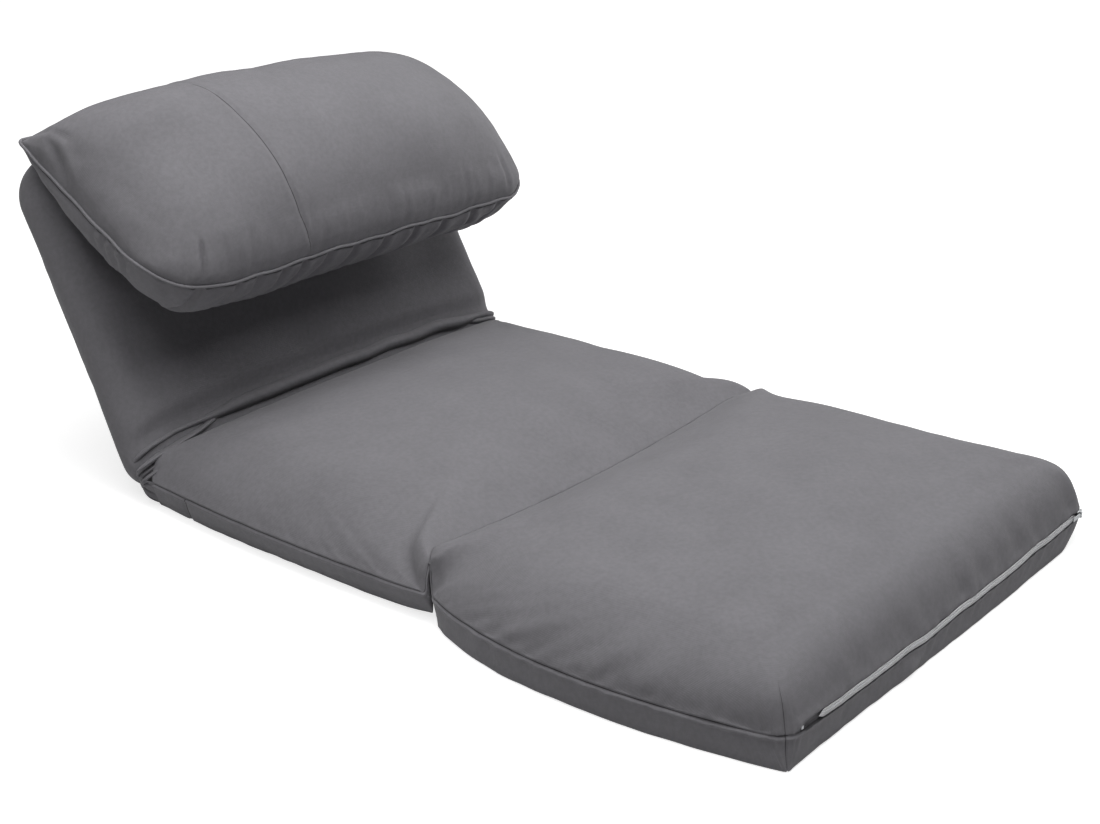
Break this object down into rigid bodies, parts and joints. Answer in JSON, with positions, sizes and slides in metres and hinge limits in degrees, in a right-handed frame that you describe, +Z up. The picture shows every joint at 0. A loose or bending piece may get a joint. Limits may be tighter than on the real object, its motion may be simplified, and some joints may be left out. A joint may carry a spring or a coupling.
{
  "type": "fold-out floor lounger",
  "caption": "Legless padded floor chair: seat, a leg section that folds out flat, a backrest that reclines on ratchet hinges, and a large pillow sewn to its top edge.",
  "frame": {"origin": "middle of the seat section's underside, on the floor", "axes": "+X across the seat, +Y from the foot end towards the backrest, +Z up"},
  "size_m": [0.7884, 1.2414, 0.4935],
  "materials": {
    "upholstery": "soft grey upholstery cloth",
    "under_cloth": "black underside cloth",
    "foam": "cut polyurethane foam",
    "fibre_filling": "loose polyester fibre",
    "frame_tube": "black powder coat on steel tube",
    "hinge_steel": "zinc-plated pressed steel",
    "webbing": "woven elastic strap",
    "zip_tape": "light grey woven tape",
    "zip_teeth": "nylon coil",
    "zip_metal": "nickel-plated casting"
  },
  "bodies": {
    "seat": {"seat_foam": "foam", "seat_under_pad": "foam", "seat_top_panel": "upholstery", "seat_side_band": "upholstery", "seat_base_cloth": "under_cloth", "seat_frame": "frame_tube", "seat_cross_tube": "frame_tube", "seat_webbing_1": "webbing", "seat_webbing_2": "webbing", "seat_webbing_3": "webbing", "seat_webbing_4": "webbing", "left_outer_cheek": "hinge_steel", "left_inner_cheek": "hinge_steel", "left_pivot_rivet": "hinge_steel", "left_pawl_rivet": "hinge_steel", "left_spring_post": "hinge_steel", "left_seat_arm_rivet": "hinge_steel", "left_pawl_spring": "hinge_steel", "right_outer_cheek": "hinge_steel", "right_inner_cheek": "hinge_steel", "right_pivot_rivet": "hinge_steel", "right_pawl_rivet": "hinge_steel", "right_spring_post": "hinge_steel", "right_seat_arm_rivet": "hinge_steel", "right_pawl_spring": "hinge_steel", "crease_fold_cloth": "upholstery", "crease_under_cloth": "under_cloth"},
    "backrest": {"back_front_cover": "upholstery", "back_rear_cover": "under_cloth", "back_foam": "foam", "back_rear_pad": "foam", "back_frame": "frame_tube", "back_cross_tube": "frame_tube", "back_webbing_1": "webbing", "back_webbing_2": "webbing", "back_webbing_3": "webbing", "pillow_flap": "upholstery", "left_ratchet_plate": "hinge_steel", "left_back_arm_rivet": "hinge_steel", "right_ratchet_plate": "hinge_steel", "right_back_arm_rivet": "hinge_steel"},
    "left_pawl": {"left_pawl": "hinge_steel"},
    "right_pawl": {"right_pawl": "hinge_steel"},
    "leg_section": {"leg_foam": "foam", "leg_top_panel": "upholstery", "leg_side_band": "upholstery", "leg_base_cloth": "under_cloth", "fold_cloth": "upholstery", "zip_lower_tape": "zip_tape", "zip_upper_tape": "zip_tape", "zip_chain": "zip_teeth", "zip_left_stop": "zip_metal", "zip_right_stop": "zip_metal"},
    "zip_slider": {"zip_slider": "zip_metal"},
    "zip_pull": {"zip_pull": "zip_metal"},
    "pillow": {"pillow_front_panel_left": "upholstery", "pillow_front_panel_right": "upholstery", "pillow_back_panel": "upholstery", "pillow_filling": "fibre_filling"}
  },
  "joints": [
    {"name": "back_recline", "type": "hinge", "parent": "seat", "child": "backrest", "pos_m": [0, 0.264, 0.04], "axis": [-1, 0, 0], "range_deg": [-24, 60], "deforming": ["crease_fold_cloth", "crease_under_cloth"]},
    {"name": "leg_fold", "type": "hinge", "parent": "seat", "child": "leg_section", "pos_m": [0, -0.2315, 0.1185], "axis": [-1, 0, 0], "range_deg": [0, 180], "deforming": ["fold_cloth", "pillow_front_panel_left", "pillow_front_panel_right", "pillow_back_panel", "pillow_filling"]},
    {"name": "pillow_flip", "type": "hinge", "parent": "backrest", "child": "pillow", "pos_m": [0, 0.4545, 0.4391], "axis": [-1, 0, 0], "range_deg": [0, 135], "deforming": ["pillow_flap"]},
    {"name": "zip_slide", "type": "slide", "parent": "leg_section", "child": "zip_slider", "axis": [-1, 0, 0], "range_m": [0, 0.634]},
    {"name": "zip_pull_swing", "type": "hinge", "parent": "zip_slider", "child": "zip_pull", "pos_m": [0.3177, -0.7395, 0.03875], "axis": [0, 0, 1], "range_deg": [0, 170]},
    {"name": "left_pawl_swing", "type": "hinge", "parent": "seat", "child": "left_pawl", "pos_m": [-0.3, 0.238, 0.053], "axis": [1, 0, 0], "range_deg": [0, 12], "stiffness_Nm_per_rad": 0.1},
    {"name": "right_pawl_swing", "type": "hinge", "parent": "seat", "child": "right_pawl", "pos_m": [0.3, 0.238, 0.053], "axis": [1, 0, 0], "range_deg": [0, 12], "stiffness_Nm_per_rad": 0.1}
  ]
}
